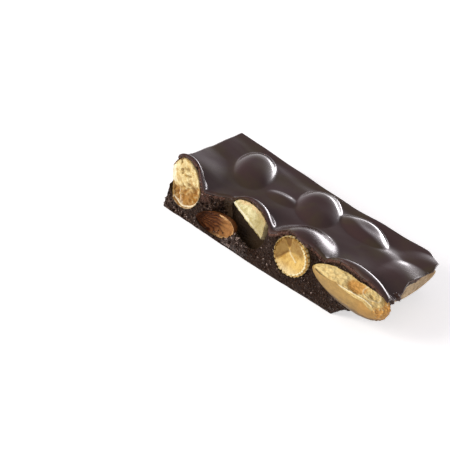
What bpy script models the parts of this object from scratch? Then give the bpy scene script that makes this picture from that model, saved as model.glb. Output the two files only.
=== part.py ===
# A snapped piece of dark chocolate bark with six broken almonds showing at its edges.
# Shapes are worked out in millimetres and scaled to metres at the end.
# X runs along the piece, Y from the broken front face to the back edge, Z up.
# The working corner is the front left corner of the flat underside.

import math

import bmesh
import bpy
from mathutils import Matrix, Vector, noise

MM = 0.001

# The middle of the whole piece on the surface that it lies on, from the working corner
MIDDLE_X = 28.04
MIDDLE_Y = 13.46

# Slab
THICKNESS = 9.0
LENGTH_UNDER = 46.5
RIGHT_END_LENGTH = 57.0
BACK_EDGE = 28.1
BACK_WAVE = 0.6
BACK_WAVE_LENGTH = 9.0
BACK_LEAN = 0.8
CORNER_CUT = 3.0
CORNER_FROM = 50.5
LEFT_END_UNDER = -0.3
RIGHT_END_SPLAY = 0.13
RIGHT_END_CURVE = 0.9
RIGHT_END_RUN = (-0.15, 1.05)
CELLS_ALONG = 46
CELLS_ACROSS = 22
CELLS_UP = 7

# The foot of the front wall runs back a little towards the right end
FOOT_BACK = 0.9
FOOT_FROM = 24.0

# The broken walls lean back evenly, but step back beside the half nut
LEAN_CURVE = 1.3
STEP_FOOT = 0.12
STEP_HEAD = 0.6
STEP_FROM = (11.0, 14.0)
STEP_TO = (24.5, 27.0)

# Relief of the broken walls, calmer at the foot and the lip
CRAG_SIZE = 4.5
CRAG_FINE_SIZE = 1.8
CRAG_DEPTH = 0.45
CRAG_AT_RIMS = 0.3
CRAG_FOOT = 0.2
CRAG_LIP = 0.85

# How far the broken front lip stands back from the underside's edge, along the piece
FRONT_LIP = (
    (-4.0, 0.4), (0.5, 0.1), (8.3, 0.1), (10.4, 2.0), (13.7, 4.4), (18.8, 4.0), (22.4, 2.9),
    (25.4, 2.1), (28.2, 1.4), (30.4, 2.2), (34.7, 0.9), (40.9, 3.0), (47.6, 1.9), (52.0, 1.1), (60.0, 1.6),
)

# How far the left end reaches at the top, across the piece
LEFT_LIP = ((0.0, 0.2), (5.0, -1.5), (17.0, -3.0), (28.0, -3.7))

# How far the right end reaches at the top, across the piece
RIGHT_LIP = ((0.0, 58.8), (3.2, 58.5), (7.6, 57.9), (14.0, 56.5), (20.4, 56.3), (24.0, 56.4), (29.0, 55.6))

# Where the top swells: middle, half sizes, turn in degrees, rise above the flat top, how square
# its flank is (2 for a low wave, 3 for a dome over a nut), and how soft its foot is (1 is sharp)
SWELLS = (
    ("left corner nut", 3.3, -0.2, 6.0, 4.3, 0.0, 5.9, 3.0, 1.5),
    ("left end", -6.0, 0.0, 16.0, 19.0, 0.0, 3.0, 2.0, 1.5),
    ("left back corner", -3.5, 21.5, 7.0, 13.0, 0.0, 0.4, 2.0, 1.5),
    ("first whole nut", 8.9, 18.4, 4.8, 8.9, 27.0, 1.7, 3.0, 1.2),
    ("small ridge", 20.0, 14.6, 4.2, 2.6, 10.0, 0.6, 2.0, 1.5),
    ("half nut", 20.5, 3.3, 6.9, 4.1, -14.0, 2.9, 3.0, 1.5),
    ("second whole nut", 27.2, 19.0, 5.3, 8.2, 28.0, 1.7, 3.0, 1.2),
    ("round nut", 34.6, 3.2, 7.8, 9.0, 0.0, 3.4, 2.0, 1.5),
    ("third whole nut", 38.4, 21.5, 7.0, 4.4, -12.0, 1.4, 3.0, 1.2),
    ("long nut", 49.8, 2.2, 10.7, 4.5, 0.0, 3.8, 3.0, 1.5),
    ("right end nut", 54.5, 14.0, 6.0, 10.0, 0.0, 0.8, 2.0, 1.5),
    ("right back corner", 54.0, 23.6, 7.0, 4.0, 5.0, 0.6, 2.0, 1.5),
)
SWELL_JOINING = 3.0

# Almonds
CLEARANCE = 0.35
ALMOND_POINT = 0.13
ALMOND_RINGS = 12
ALMOND_SEGMENTS = 20
POCKET_RINGS = 9
POCKET_SEGMENTS = 16
TAPER_REACH = 1.08
BREAK_ROUGHNESS = 0.22
BREAK_SINK = 0.5
BREAK_GRAIN = 1.6
BREAK_CROWN = 0.03
BREAK_RIM = 0.5
TEETH_FROM_MIDDLE = 3.6
TEETH_BELOW_BREAK = 1.2

# Relief of the broken nut faces, in a nut's own axes
CORNER_HOLLOW = {"x": -1.2, "z": -3.3, "half_x": 2.8, "half_z": 2.2, "depth": 1.2}
SKIN_DISH = {"x": 0.0, "z": 0.0, "half_x": 3.1, "half_z": 5.8, "depth": 1.7, "roundness": 0.7}
SKIN_RIDGES = {"height": 0.16, "per_mm": 5.0, "fade": 3.0}
ROUND_BREAK = {"radius": 4.8, "depth": 0.9, "lobe_share": 0.6, "crease": 0.25, "lobes": 3, "turn": 0.6}
LONG_HOLLOW = {"x": -0.2, "z": -1.6, "half_x": 1.9, "half_z": 2.4, "depth": 0.55}
LONG_RING = {"x": -0.5, "z": -5.4, "half_x": 1.3, "half_z": 2.0, "height": 0.25, "width": 0.3}

CHOCOLATE_ROUGHNESS = 0.3
NUT_ROUGHNESS = 0.6
BROWN_BLACK = (0.030, 0.017, 0.012)
CREAM = (0.83, 0.68, 0.40)
PALE_CREAM = (0.80, 0.74, 0.47)
GOLDEN = (0.72, 0.47, 0.19)
SKIN_BROWN = (0.26, 0.10, 0.035)
TAN = (0.55, 0.42, 0.25)


def smooth_step(low, high, value):
    share = min(max((value - low) / (high - low), 0.0), 1.0)
    return share * share * (3.0 - 2.0 * share)


def along_points(points, at):
    """The height of a smooth line through (place, height) points."""
    if at <= points[0][0]:
        return points[0][1]
    for (start, low), (end, high) in zip(points, points[1:]):
        if at <= end:
            return low + (high - low) * smooth_step(start, end, at)
    return points[-1][1]


def top_height(x, y):
    """Each swell falls softly to nothing at its rim, and where two meet the higher one leads."""
    joined = 0.0
    for _, middle_x, middle_y, half_x, half_y, turn, rise, squareness, softness in SWELLS:
        away = Matrix.Rotation(math.radians(-turn), 2) @ Vector((x - middle_x, y - middle_y))
        out = math.hypot(away.x / half_x, away.y / half_y)
        if out < 1.0:
            height = rise * (1.0 - out ** squareness) ** softness
            joined += height ** SWELL_JOINING
    return THICKNESS + joined ** (1.0 / SWELL_JOINING)


def front_edge(x, up):
    by_half_nut = smooth_step(*STEP_FROM, x) * (1.0 - smooth_step(*STEP_TO, x))
    leaning = up ** LEAN_CURVE
    stepped = smooth_step(STEP_FOOT, STEP_HEAD, up)
    foot = FOOT_BACK * smooth_step(FOOT_FROM, LENGTH_UNDER, x) * (1.0 - up)
    return foot + along_points(FRONT_LIP, x) * (leaning + (stepped - leaning) * by_half_nut)


def back_edge(x, up):
    corner = CORNER_CUT * smooth_step(CORNER_FROM, RIGHT_END_LENGTH, x)
    return BACK_EDGE + BACK_WAVE * math.cos(x / BACK_WAVE_LENGTH) - corner - BACK_LEAN * (1.0 - up)


def left_end(y, up):
    return LEFT_END_UNDER + (along_points(LEFT_LIP, y) - LEFT_END_UNDER) * up


def right_end(y, up):
    """The right end hangs out over its foot, because the slab broke at a slant there."""
    under = LENGTH_UNDER + RIGHT_END_SPLAY * y
    lip = along_points(RIGHT_LIP, y)
    return under + (lip - under) * smooth_step(*RIGHT_END_RUN, up) ** RIGHT_END_CURVE


def crag(point):
    """Rough relief of snapped chocolate, in and out of the wall."""
    coarse = noise.noise(point / CRAG_SIZE)
    fine = noise.noise(point / CRAG_FINE_SIZE + Vector((9.0, 4.0, 2.0)))
    return CRAG_DEPTH * (coarse + 0.5 * fine)


def slab_point(across_length, across_width, up):
    """Where a point of a unit box goes in the slab. Each share runs from 0 to 1."""
    nearly = 0.001
    y_guess = BACK_EDGE * across_width
    left = left_end(y_guess, up)
    right = right_end(y_guess, up)
    x = left + (right - left) * across_length
    front = front_edge(x, up)
    back = back_edge(x, up)
    y = front + (back - front) * across_width
    point = Vector((x, y, up * top_height(x, y)))
    outward = Vector((
        (across_length > 1.0 - nearly) - (across_length < nearly),
        (across_width > 1.0 - nearly) - (across_width < nearly),
        0.0,
    ))
    if outward.length > 0.0:
        inside = smooth_step(0.0, CRAG_FOOT, up) * (1.0 - smooth_step(CRAG_LIP, 1.0, up))
        strength = CRAG_AT_RIMS + (1.0 - CRAG_AT_RIMS) * inside
        point += outward.normalized() * crag(point) * strength
    return point


def lattice_box(cells):
    """A unit box from 0 to 1 with each side cut into this many cells along X, Y and Z."""
    mesh = bmesh.new()
    bmesh.ops.create_cube(mesh, size=1.0)
    bmesh.ops.translate(mesh, verts=mesh.verts, vec=(0.5, 0.5, 0.5))
    for axis, count in enumerate(cells):
        normal = Vector((axis == 0, axis == 1, axis == 2))
        for step in range(1, count):
            everything = mesh.verts[:] + mesh.edges[:] + mesh.faces[:]
            bmesh.ops.bisect_plane(mesh, geom=everything, plane_co=normal * step / count, plane_no=normal)
    return mesh


def make_material(name, colour, roughness):
    material = bpy.data.materials.new(name)
    material.use_nodes = True
    shader = material.node_tree.nodes["Principled BSDF"]
    shader.inputs["Base Color"].default_value = (*colour, 1.0)
    shader.inputs["Roughness"].default_value = roughness
    material.diffuse_color = (*colour, 1.0)
    return material


def make_object(name, mesh, collection, material=None):
    """Turns a millimetre bmesh in working coordinates into an object in metres."""
    bmesh.ops.translate(mesh, verts=mesh.verts, vec=(-MIDDLE_X, -MIDDLE_Y, 0.0))
    bmesh.ops.scale(mesh, verts=mesh.verts, vec=(MM, MM, MM))
    bmesh.ops.recalc_face_normals(mesh, faces=mesh.faces)
    data = bpy.data.meshes.new(name)
    mesh.to_mesh(data)
    mesh.free()
    data.shade_smooth()
    thing = bpy.data.objects.new(name, data)
    collection.objects.link(thing)
    if material:
        data.materials.append(material)
    return thing


def almond_body(nut, segments, rings, grow=0.0):
    """A whole almond: its long axis on Z with the point up, its width on X, its thickness on Y."""
    mesh = bmesh.new()
    bmesh.ops.create_uvsphere(mesh, u_segments=segments, v_segments=rings, radius=1.0)
    half_width, half_thick, half_length = (half + grow for half in nut["half_sizes"])
    for vert in mesh.verts:
        x, y, z = vert.co
        taper = ((TAPER_REACH - z) / (TAPER_REACH + z)) ** nut.get("point", ALMOND_POINT)
        vert.co = Vector((x * taper * half_width, y * taper * half_thick, z * half_length))
    return mesh


def almond_pose(nut):
    """The matrix that lays an almond at its place, from its long axis and its flat side's direction."""
    long_axis = Vector(nut["long_axis"]).normalized()
    face = Vector(nut["faces"])
    thick_axis = (face - face.dot(long_axis) * long_axis).normalized()
    wide_axis = thick_axis.cross(long_axis)
    turn = Matrix((wide_axis, thick_axis, long_axis)).transposed().to_4x4()
    return Matrix.Translation(nut["middle"]) @ turn


def break_nut(mesh, toward, distance, relief):
    """Presses what lies beyond a plane back to it, as a broken face with this relief.

    The points move along the nut's own axis that is nearest to the plane's direction, so a
    second break meets the first without folding it.
    """
    toward = Vector(toward).normalized()
    axis = max(range(3), key=lambda one: abs(toward[one]))
    outward = math.copysign(1.0, toward[axis])
    for vert in mesh.verts:
        beyond = (vert.co.dot(toward) - distance) / abs(toward[axis])
        if beyond > 0.0:
            vert.co[axis] -= outward * beyond
            rough = BREAK_ROUGHNESS * (noise.noise(vert.co / BREAK_GRAIN) - BREAK_SINK)
            height = (rough - relief(vert.co)) * min(1.0, beyond / BREAK_RIM)
            vert.co[axis] += outward * (height + BREAK_CROWN * beyond)


def no_relief(_):
    return 0.0


def oval(point, spot):
    """1 in the middle of an oval spot of a broken face, falling to 0 at its rim."""
    across = (point.x - spot["x"]) / spot["half_x"]
    along = (point.z - spot["z"]) / spot["half_z"]
    return max(0.0, 1.0 - across ** 2 - along ** 2)


def corner_nut_relief(point):
    """A hollow near the foot of the corner nut's broken face."""
    return CORNER_HOLLOW["depth"] * oval(point, CORNER_HOLLOW)


def skin_nut_relief(point):
    """A dish lined with lengthwise ridges."""
    inside = oval(point, SKIN_DISH)
    dish = SKIN_DISH["depth"] * inside ** SKIN_DISH["roundness"]
    ridges = SKIN_RIDGES["height"] * math.cos(point.x * SKIN_RIDGES["per_mm"])
    return dish + ridges * min(1.0, SKIN_RIDGES["fade"] * inside)


def round_nut_relief(point):
    """Three lobes that meet in creases at the middle of the round break."""
    around = math.atan2(point.x, point.y)
    out = min(1.0, math.hypot(point.x, point.y) / ROUND_BREAK["radius"])
    lobe = abs(math.sin(ROUND_BREAK["lobes"] / 2.0 * around + ROUND_BREAK["turn"]))
    sunk = ROUND_BREAK["depth"] * (1.0 - out) * (1.0 - ROUND_BREAK["lobe_share"] * lobe)
    return sunk + ROUND_BREAK["crease"] * (1.0 - lobe) * out * (1.0 - out)


def long_nut_relief(point):
    """A shallow hollow in the split face, with an oval ring near its blunt end."""
    across = (point.x - LONG_RING["x"]) / LONG_RING["half_x"]
    along = (point.z - LONG_RING["z"]) / LONG_RING["half_z"]
    ring = LONG_RING["height"] * math.exp(-((math.hypot(across, along) - 1.0) / LONG_RING["width"]) ** 2)
    return LONG_HOLLOW["depth"] * oval(point, LONG_HOLLOW) - ring


# Each almond: half width, half thickness, half length; the way its long axis points;
# the way its flat side faces; and its breaks, as a direction in its own axes, a distance
# from its middle and the relief of the broken face.
NUTS = {
    "almond_left_corner": {
        "middle": (3.7, -0.2, 8.3),
        "half_sizes": (4.3, 3.0, 5.85),
        "long_axis": (-0.25, 0.0, 1.0),
        "faces": (0.0, -1.0, 0.0),
        "point": 0.04,
        "breaks": (
            ((0.0, 1.0, 0.0), 0.0, corner_nut_relief),
            ((1.0, 0.0, 0.0), 3.2, no_relief),
        ),
        "colour": CREAM,
    },
    "almond_skin": {
        "middle": (13.3, 1.2, 3.05),
        "half_sizes": (2.5, 2.8, 5.5),
        "long_axis": (-1.0, 0.0, -0.13),
        "faces": (0.0, -1.0, 0.12),
        "breaks": (((0.0, 1.0, 0.0), 0.5, skin_nut_relief),),
        "colour": SKIN_BROWN,
    },
    "almond_half": {
        "middle": (20.42, 3.13, 6.77),
        "half_sizes": (4.4, 3.0, 6.3),
        "long_axis": (0.952, -0.245, -0.18),
        "faces": (-0.26, -1.0, 0.0),
        "point": -ALMOND_POINT,
        "breaks": (
            ((0.0, 1.0, 0.0), 0.0, no_relief),
            ((-1.0, 0.0, 0.0), 0.1, no_relief),
            ((0.24, 0.0, 0.97), 5.0, no_relief),
        ),
        "colour": PALE_CREAM,
    },
    "almond_round": {
        "middle": (34.1, 1.4, 6.75),
        "half_sizes": (4.6, 4.6, 6.5),
        "long_axis": (0.0, -1.0, 0.0),
        "faces": (0.0, 0.0, 1.0),
        "point": 0.0,
        "segments": 44,
        "teeth": 0.035,
        "breaks": (((0.0, 0.0, 1.0), 0.7, round_nut_relief),),
        "colour": GOLDEN,
    },
    "almond_long": {
        "middle": (49.6, 1.7, 7.4),
        "half_sizes": (3.5, 3.4, 10.2),
        "long_axis": (-1.0, 0.0, 0.0),
        "faces": (0.0, -0.44, 0.9),
        "breaks": (
            ((0.0, 1.0, 0.0), 2.6, long_nut_relief),
            ((0.0, 0.967, 0.253), 3.15, no_relief),
            ((0.0, 0.944, -0.33), 4.1, no_relief),
        ),
        "colour": TAN,
    },
    "almond_right_end": {
        "middle": (55.2, 17.2, 6.65),
        "half_sizes": (1.92, 3.0, 8.3),
        "long_axis": (-0.02, 1.0, 0.09),
        "faces": (1.0, 0.0, 0.0),
        "point": -0.05,
        "breaks": (((0.0, 1.0, 0.0), 0.8, no_relief),),
        "colour": TAN,
    },
}


def make_nut(name, nut, collection):
    mesh = almond_body(nut, nut.get("segments", ALMOND_SEGMENTS), ALMOND_RINGS)
    for toward, distance, relief in nut["breaks"]:
        break_nut(mesh, toward, distance, relief)
    if "teeth" in nut:
        cut = nut["breaks"][0][1]
        for vert in mesh.verts:
            out = Vector((vert.co.x, vert.co.y, 0.0))
            tooth = round(math.atan2(out.y, out.x) / math.tau * nut["segments"]) % 2
            if out.length > TEETH_FROM_MIDDLE and vert.co.z > cut - TEETH_BELOW_BREAK:
                vert.co -= out * nut["teeth"] * tooth
    bmesh.ops.transform(mesh, matrix=almond_pose(nut), verts=mesh.verts)
    material = make_material(name, nut["colour"], NUT_ROUGHNESS)
    return make_object(name, mesh, collection, material)


def make_cutter(name, nut, collection):
    """The pocket is a whole almond's, so a broken-off half leaves its smooth print beside the nut."""
    mesh = almond_body(nut, POCKET_SEGMENTS, POCKET_RINGS, CLEARANCE)
    bmesh.ops.transform(mesh, matrix=almond_pose(nut), verts=mesh.verts)
    cutter = make_object(name, mesh, collection)
    cutter.hide_render = True
    cutter.display_type = "WIRE"
    return cutter


def make_slab(collection, cutters):
    mesh = lattice_box((CELLS_ALONG, CELLS_ACROSS, CELLS_UP))
    under = [face for face in mesh.faces if all(vert.co.z < 0.001 for vert in face.verts)]
    bmesh.ops.dissolve_faces(mesh, faces=under, use_verts=True)
    for vert in mesh.verts:
        vert.co = slab_point(*vert.co)
    chocolate = make_material("dark_chocolate", BROWN_BLACK, CHOCOLATE_ROUGHNESS)
    slab = make_object("chocolate_slab", mesh, collection, chocolate)
    for cutter in cutters:
        pocket = slab.modifiers.new("Pocket for " + cutter.name, "BOOLEAN")
        pocket.operation = "DIFFERENCE"
        pocket.solver = "EXACT"
        pocket.object = cutter
    return slab


def main():
    for thing in list(bpy.data.objects):
        bpy.data.objects.remove(thing, do_unlink=True)
    bark = bpy.data.collections.new("chocolate_bark")
    cutting = bpy.data.collections.new("cutters")
    for collection in (bark, cutting):
        bpy.context.scene.collection.children.link(collection)
    cutters = [make_cutter("pocket_" + name, nut, cutting) for name, nut in NUTS.items()]
    make_slab(bark, cutters)
    for name, nut in NUTS.items():
        make_nut(name, nut, bark)


main()
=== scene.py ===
import math
import random

import bmesh
import bpy
from mathutils import Matrix, Vector, noise


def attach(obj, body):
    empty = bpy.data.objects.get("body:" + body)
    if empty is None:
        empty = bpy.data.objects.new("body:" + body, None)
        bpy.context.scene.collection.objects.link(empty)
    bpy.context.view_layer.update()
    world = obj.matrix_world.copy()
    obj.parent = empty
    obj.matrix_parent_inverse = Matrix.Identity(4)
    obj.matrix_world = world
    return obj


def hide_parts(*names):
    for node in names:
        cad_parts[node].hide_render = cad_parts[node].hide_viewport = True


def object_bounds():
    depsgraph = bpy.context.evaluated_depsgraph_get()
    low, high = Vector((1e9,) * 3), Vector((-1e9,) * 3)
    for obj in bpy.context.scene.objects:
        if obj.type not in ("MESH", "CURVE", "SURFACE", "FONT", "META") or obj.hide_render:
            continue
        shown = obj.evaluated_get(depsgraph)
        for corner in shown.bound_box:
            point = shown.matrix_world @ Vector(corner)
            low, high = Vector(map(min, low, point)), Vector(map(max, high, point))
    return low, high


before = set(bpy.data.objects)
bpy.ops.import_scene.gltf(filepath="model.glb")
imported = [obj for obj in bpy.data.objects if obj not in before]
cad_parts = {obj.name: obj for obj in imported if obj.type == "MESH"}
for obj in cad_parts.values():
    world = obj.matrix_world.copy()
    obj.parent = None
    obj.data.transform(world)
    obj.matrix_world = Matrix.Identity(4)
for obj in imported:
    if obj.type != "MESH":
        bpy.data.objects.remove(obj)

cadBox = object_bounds()
mm = 0.001
nearly = 0.001
# The working millimetres start at the underside's front left corner
workCorner = Vector((-28.04, -13.46, 0.0))


def smoothStep(low, high, value):
    share = min(max((value - low) / (high - low), 0.0), 1.0)
    return share * share * (3.0 - 2.0 * share)


def alongPoints(points, at):
    if at <= points[0][0]:
        return points[0][1]
    for (start, low), (end, high) in zip(points, points[1:]):
        if at <= end:
            return low + (high - low) * smoothStep(start, end, at)
    return points[-1][1]


def wavy(place, size, shift=0.0):
    return noise.noise(place / size + Vector((shift, 2.0 * shift, 3.0 * shift)))


def nearGrain(place, size, shift=0.0):
    # How far the nearest of some scattered grains is, as a share of their size
    return noise.voronoi(place / size + Vector((shift, shift, shift)))[0][0]


# The crest mask marks where a painted highlight goes on the broken chocolate
slabMasks = ("poured", "pocket", "lip", "crest", "satin")
# The nuts' hollow, pit and rim masks carry real colour and also painted shade and painted highlights; each
# face says which
nutMasks = ("fresh", "hollow", "pit", "rim")


def addMasks(mesh, names):
    return {name: mesh.verts.layers.float.new(name) for name in names}


def paint(vert, layers, **masks):
    for name, value in masks.items():
        vert[layers[name]] = value


# Slab: the same form as the solid, cut finer, with its chips and breaks

slabShape = {
    "thickness": 9.0,
    "lengthUnder": 46.5,
    "rightEndLength": 57.0,
    "backEdge": 28.1,
    "footBack": 0.9,
    "footFrom": 24.0,
    "backWave": 0.6,
    "backWaveLength": 9.0,
    "backLean": 0.8,
    "cornerCut": 3.0,
    "cornerFrom": 50.5,
    "leftEndUnder": -0.3,
    "rightEndSplay": 0.13,
    "rightEndRun": (-0.15, 1.05),
    "rightEndCurve": 0.9,
    "leanCurve": 1.3,
    "stepFoot": 0.12,
    "stepHead": 0.6,
    "stepFrom": (11.0, 14.0),
    "stepTo": (24.5, 27.0),
    "cells": (222, 104, 34),
    "frontLip": (
        (-4.0, 0.4), (0.5, 0.1), (8.3, 0.1), (10.4, 2.0), (13.7, 4.4), (18.8, 4.0), (22.4, 2.9),
        (25.4, 2.1), (28.2, 1.4), (30.4, 2.2), (34.7, 0.9), (40.9, 3.0), (47.6, 1.9), (52.0, 1.1),
        (60.0, 1.6),
    ),
    "leftLip": ((0.0, 0.2), (5.0, -1.5), (17.0, -3.0), (28.0, -3.7)),
    "rightLip": (
        (0.0, 58.8), (3.2, 58.5), (7.6, 57.9), (14.0, 56.5), (20.4, 56.3), (24.0, 56.4), (29.0, 55.6),
    ),
    "cragSize": 4.5,
    "cragFineSize": 1.8,
    "cragDepth": 0.45,
    "cragAtRims": 0.3,
    "cragFoot": 0.2,
    "cragLip": 0.85,
}

# Where the top swells: middle x and y, half sizes, turn in degrees, rise, how square its flank is
# (2 for a low wave, 3 for a dome over a nut), and how soft its foot is (1 is sharp)
swells = (
    (3.3, -0.2, 6.0, 4.3, 0.0, 5.9, 3.0, 1.5),
    (-6.0, 0.0, 16.0, 19.0, 0.0, 3.0, 2.0, 1.5),
    (-3.5, 21.5, 7.0, 13.0, 0.0, 0.4, 2.0, 1.5),
    (8.9, 18.4, 4.8, 8.9, 27.0, 1.7, 3.0, 1.2),
    (20.0, 14.6, 4.2, 2.6, 10.0, 0.6, 2.0, 1.5),
    (20.5, 3.3, 6.9, 4.1, -14.0, 2.9, 3.0, 1.5),
    (27.2, 19.0, 5.3, 8.2, 28.0, 1.7, 3.0, 1.2),
    (34.6, 3.2, 7.8, 9.0, 0.0, 3.4, 2.0, 1.5),
    (38.4, 21.5, 7.0, 4.4, -12.0, 1.4, 3.0, 1.2),
    (49.8, 2.2, 10.7, 4.5, 0.0, 3.8, 3.0, 1.5),
    (54.5, 14.0, 6.0, 10.0, 0.0, 0.8, 2.0, 1.5),
    (54.0, 23.6, 7.0, 4.0, 5.0, 0.6, 2.0, 1.5),
)
swellJoining = 3.0

pouredTop = {
    "waveSize": 7.0,
    "waveHeight": 0.24,
    "rollRadius": 0.55,
    "sideRadius": 0.12,
    # the top sinks a little before its back edge: depth and width of that trough along the piece
    "troughDepth": ((0.0, 0.08), (26.0, 0.15), (45.0, 0.75), (54.0, 0.45)),
    "troughWidth": ((0.0, 5.0), (26.0, 5.5), (48.0, 12.0)),
    "troughShake": (0.3, 7.0, 6.0),    # share, size and shift of the noise
    "chipRise": (0.55, 1.0),
    "chipSize": 1.3,
    "chipDepth": 0.22,
    "fineChipSize": 0.5,
    "fineChipDepth": 0.1,
    "satinSpot": (38.0, 5.5, 7.5, 6.5),   # duller over the round almond
}

# Pairs give where an effect starts and where it is full
brokenWall = {
    "finerDepth": 0.15,              # walls this far under the top and off the foot are cut finer
    "finerHeight": 0.05,
    "finerFrontY": 9.0,
    "finerNormals": (-0.3, 0.5),     # faces to the front below the first, to the right above the second
    "pouredDepth": (0.05, 0.2),
    "lipFade": (0.9, 0.15),
    "breakDepth": (0.05, 0.35),
    "footHeight": (0.0, 0.4),
    "pocketSkin": 0.012,
    "pocketRelief": (0.05, 1.8),
    "crumblyX": (26.0, 20.0),
    "crumblyY": (8.0, 4.0),
    "crumbSize": 1.4,
    "crumbDepth": 0.42,
    "grainSize": 0.6,
    "grainDepth": 0.30,
    "ledgeSize": 3.2,
    "ledgeDepth": 0.22,
    "bubblyX": (16.5, 13.0),
    "poreSize": 1.15,
    "poreDepth": 0.45,
    "poreRim": (0.16, 0.4),
    "printReach": (2.5, 1.9),        # a smooth print of the nut that lay left of the half almond
    "printEnds": (20.0, 17.5),
    "wedgeReach": (2.6, 1.9),        # a smooth reddish wedge right of the corner almond
    "wedgeHeight": (5.5, 7.5),
    "wedgeX": (5.0, 6.5),
    "smoothing": 0.85,
    "collar": 0.5,                   # the chocolate hugs the long almond's belly
    "collarReach": (1.5, 1.0),
    "collarHeight": (9.0, 6.0),
}

turnedSwells = [
    (x, y, 1.0 / halfX, 1.0 / halfY, math.cos(math.radians(turn)), math.sin(math.radians(turn)), *form)
    for x, y, halfX, halfY, turn, *form in swells
]


def topHeight(x, y):
    joined = 0.0
    for middleX, middleY, perX, perY, cosTurn, sinTurn, rise, square, softness in turnedSwells:
        awayX = x - middleX
        awayY = y - middleY
        along = (awayX * cosTurn + awayY * sinTurn) * perX
        across = (awayY * cosTurn - awayX * sinTurn) * perY
        out = math.sqrt(along * along + across * across)
        if out < 1.0:
            joined += (rise * (1.0 - out ** square) ** softness) ** swellJoining
    return slabShape["thickness"] + joined ** (1.0 / swellJoining)


def frontEdge(x, up):
    s = slabShape
    byHalfNut = smoothStep(*s["stepFrom"], x) * (1.0 - smoothStep(*s["stepTo"], x))
    leaning = up ** s["leanCurve"]
    stepped = smoothStep(s["stepFoot"], s["stepHead"], up)
    foot = s["footBack"] * smoothStep(s["footFrom"], s["lengthUnder"], x) * (1.0 - up)
    lip = foot + alongPoints(s["frontLip"], x) * (leaning + (stepped - leaning) * byHalfNut)
    p = pouredTop
    chips = p["chipDepth"] * wavy(Vector((x, 0.0, 5.0)), p["chipSize"])
    chips += p["fineChipDepth"] * wavy(Vector((x, 3.0, 0.0)), p["fineChipSize"])
    return lip + chips * smoothStep(*p["chipRise"], up)


def backEdge(x, up):
    s = slabShape
    corner = s["cornerCut"] * smoothStep(s["cornerFrom"], s["rightEndLength"], x)
    edge = s["backEdge"] + s["backWave"] * math.cos(x / s["backWaveLength"])
    return edge - corner - s["backLean"] * (1.0 - up)


def leftEnd(y, up):
    under = slabShape["leftEndUnder"]
    return under + (alongPoints(slabShape["leftLip"], y) - under) * up


def rightEnd(y, up):
    under = slabShape["lengthUnder"] + slabShape["rightEndSplay"] * y
    lip = alongPoints(slabShape["rightLip"], y)
    return under + (lip - under) * smoothStep(*slabShape["rightEndRun"], up) ** slabShape["rightEndCurve"]


def rolled(away, radius):
    # How far a rounded edge drops at this distance from it
    share = 1.0 - min(max(away, 0.0) / radius, 1.0)
    return radius * (1.0 - math.sqrt(1.0 - share * share))


def pouredHeight(x, y):
    p = pouredTop
    wave = p["waveHeight"] * wavy(Vector((x, y, 0.0)), p["waveSize"], 1.0)
    fromBack = backEdge(x, 1.0) - y
    fromSides = min(fromBack, x - leftEnd(y, 1.0), rightEnd(y, 1.0) - x)
    drop = rolled(y - frontEdge(x, 1.0), p["rollRadius"]) + rolled(fromSides, p["sideRadius"])
    share, size, shift = p["troughShake"]
    width = alongPoints(p["troughWidth"], x) * (1.0 + share * wavy(Vector((x, 0.0, 0.0)), size, shift))
    trough = math.sin(math.pi * min(max(fromBack / width, 0.0), 1.0)) ** 2
    return topHeight(x, y) + wave - drop - alongPoints(p["troughDepth"], x) * trough


def crag(point):
    s = slabShape
    coarse = noise.noise(point / s["cragSize"])
    fine = noise.noise(point / s["cragFineSize"] + Vector((9.0, 4.0, 2.0)))
    return s["cragDepth"] * (coarse + 0.5 * fine)


def closerAtEnds(share):
    # Finer rows of cells at both ends of a side
    return share - 0.5 * math.sin(math.tau * share) / math.tau


def slabPoint(alongShare, acrossShare, upShare):
    s = slabShape
    acrossShare = closerAtEnds(acrossShare)
    up = closerAtEnds(upShare)
    yGuess = s["backEdge"] * acrossShare
    left = leftEnd(yGuess, up)
    x = left + (rightEnd(yGuess, up) - left) * alongShare
    front = frontEdge(x, up)
    y = front + (backEdge(x, up) - front) * acrossShare
    point = Vector((x, y, up * pouredHeight(x, y)))
    outward = Vector((
        (alongShare > 1.0 - nearly) - (alongShare < nearly),
        (acrossShare > 1.0 - nearly) - (acrossShare < nearly),
        0.0,
    ))
    if outward.length > 0.0:
        inside = smoothStep(0.0, s["cragFoot"], up) * (1.0 - smoothStep(s["cragLip"], 1.0, up))
        strength = s["cragAtRims"] + (1.0 - s["cragAtRims"]) * inside
        point += outward.normalized() * crag(point) * strength
    return point


def latticeBox(cells):
    mesh = bmesh.new()
    bmesh.ops.create_cube(mesh, size=1.0)
    bmesh.ops.translate(mesh, verts=mesh.verts, vec=(0.5, 0.5, 0.5))
    for axis, count in enumerate(cells):
        edges = [e for e in mesh.edges if abs(e.verts[0].co[axis] - e.verts[1].co[axis]) > 0.5]
        bmesh.ops.subdivide_edges(mesh, edges=edges, cuts=count - 1, use_grid_fill=True)
    return mesh


# Almonds, with their own axes: width on X, thickness on Y towards the broken face, length on Z

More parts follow.
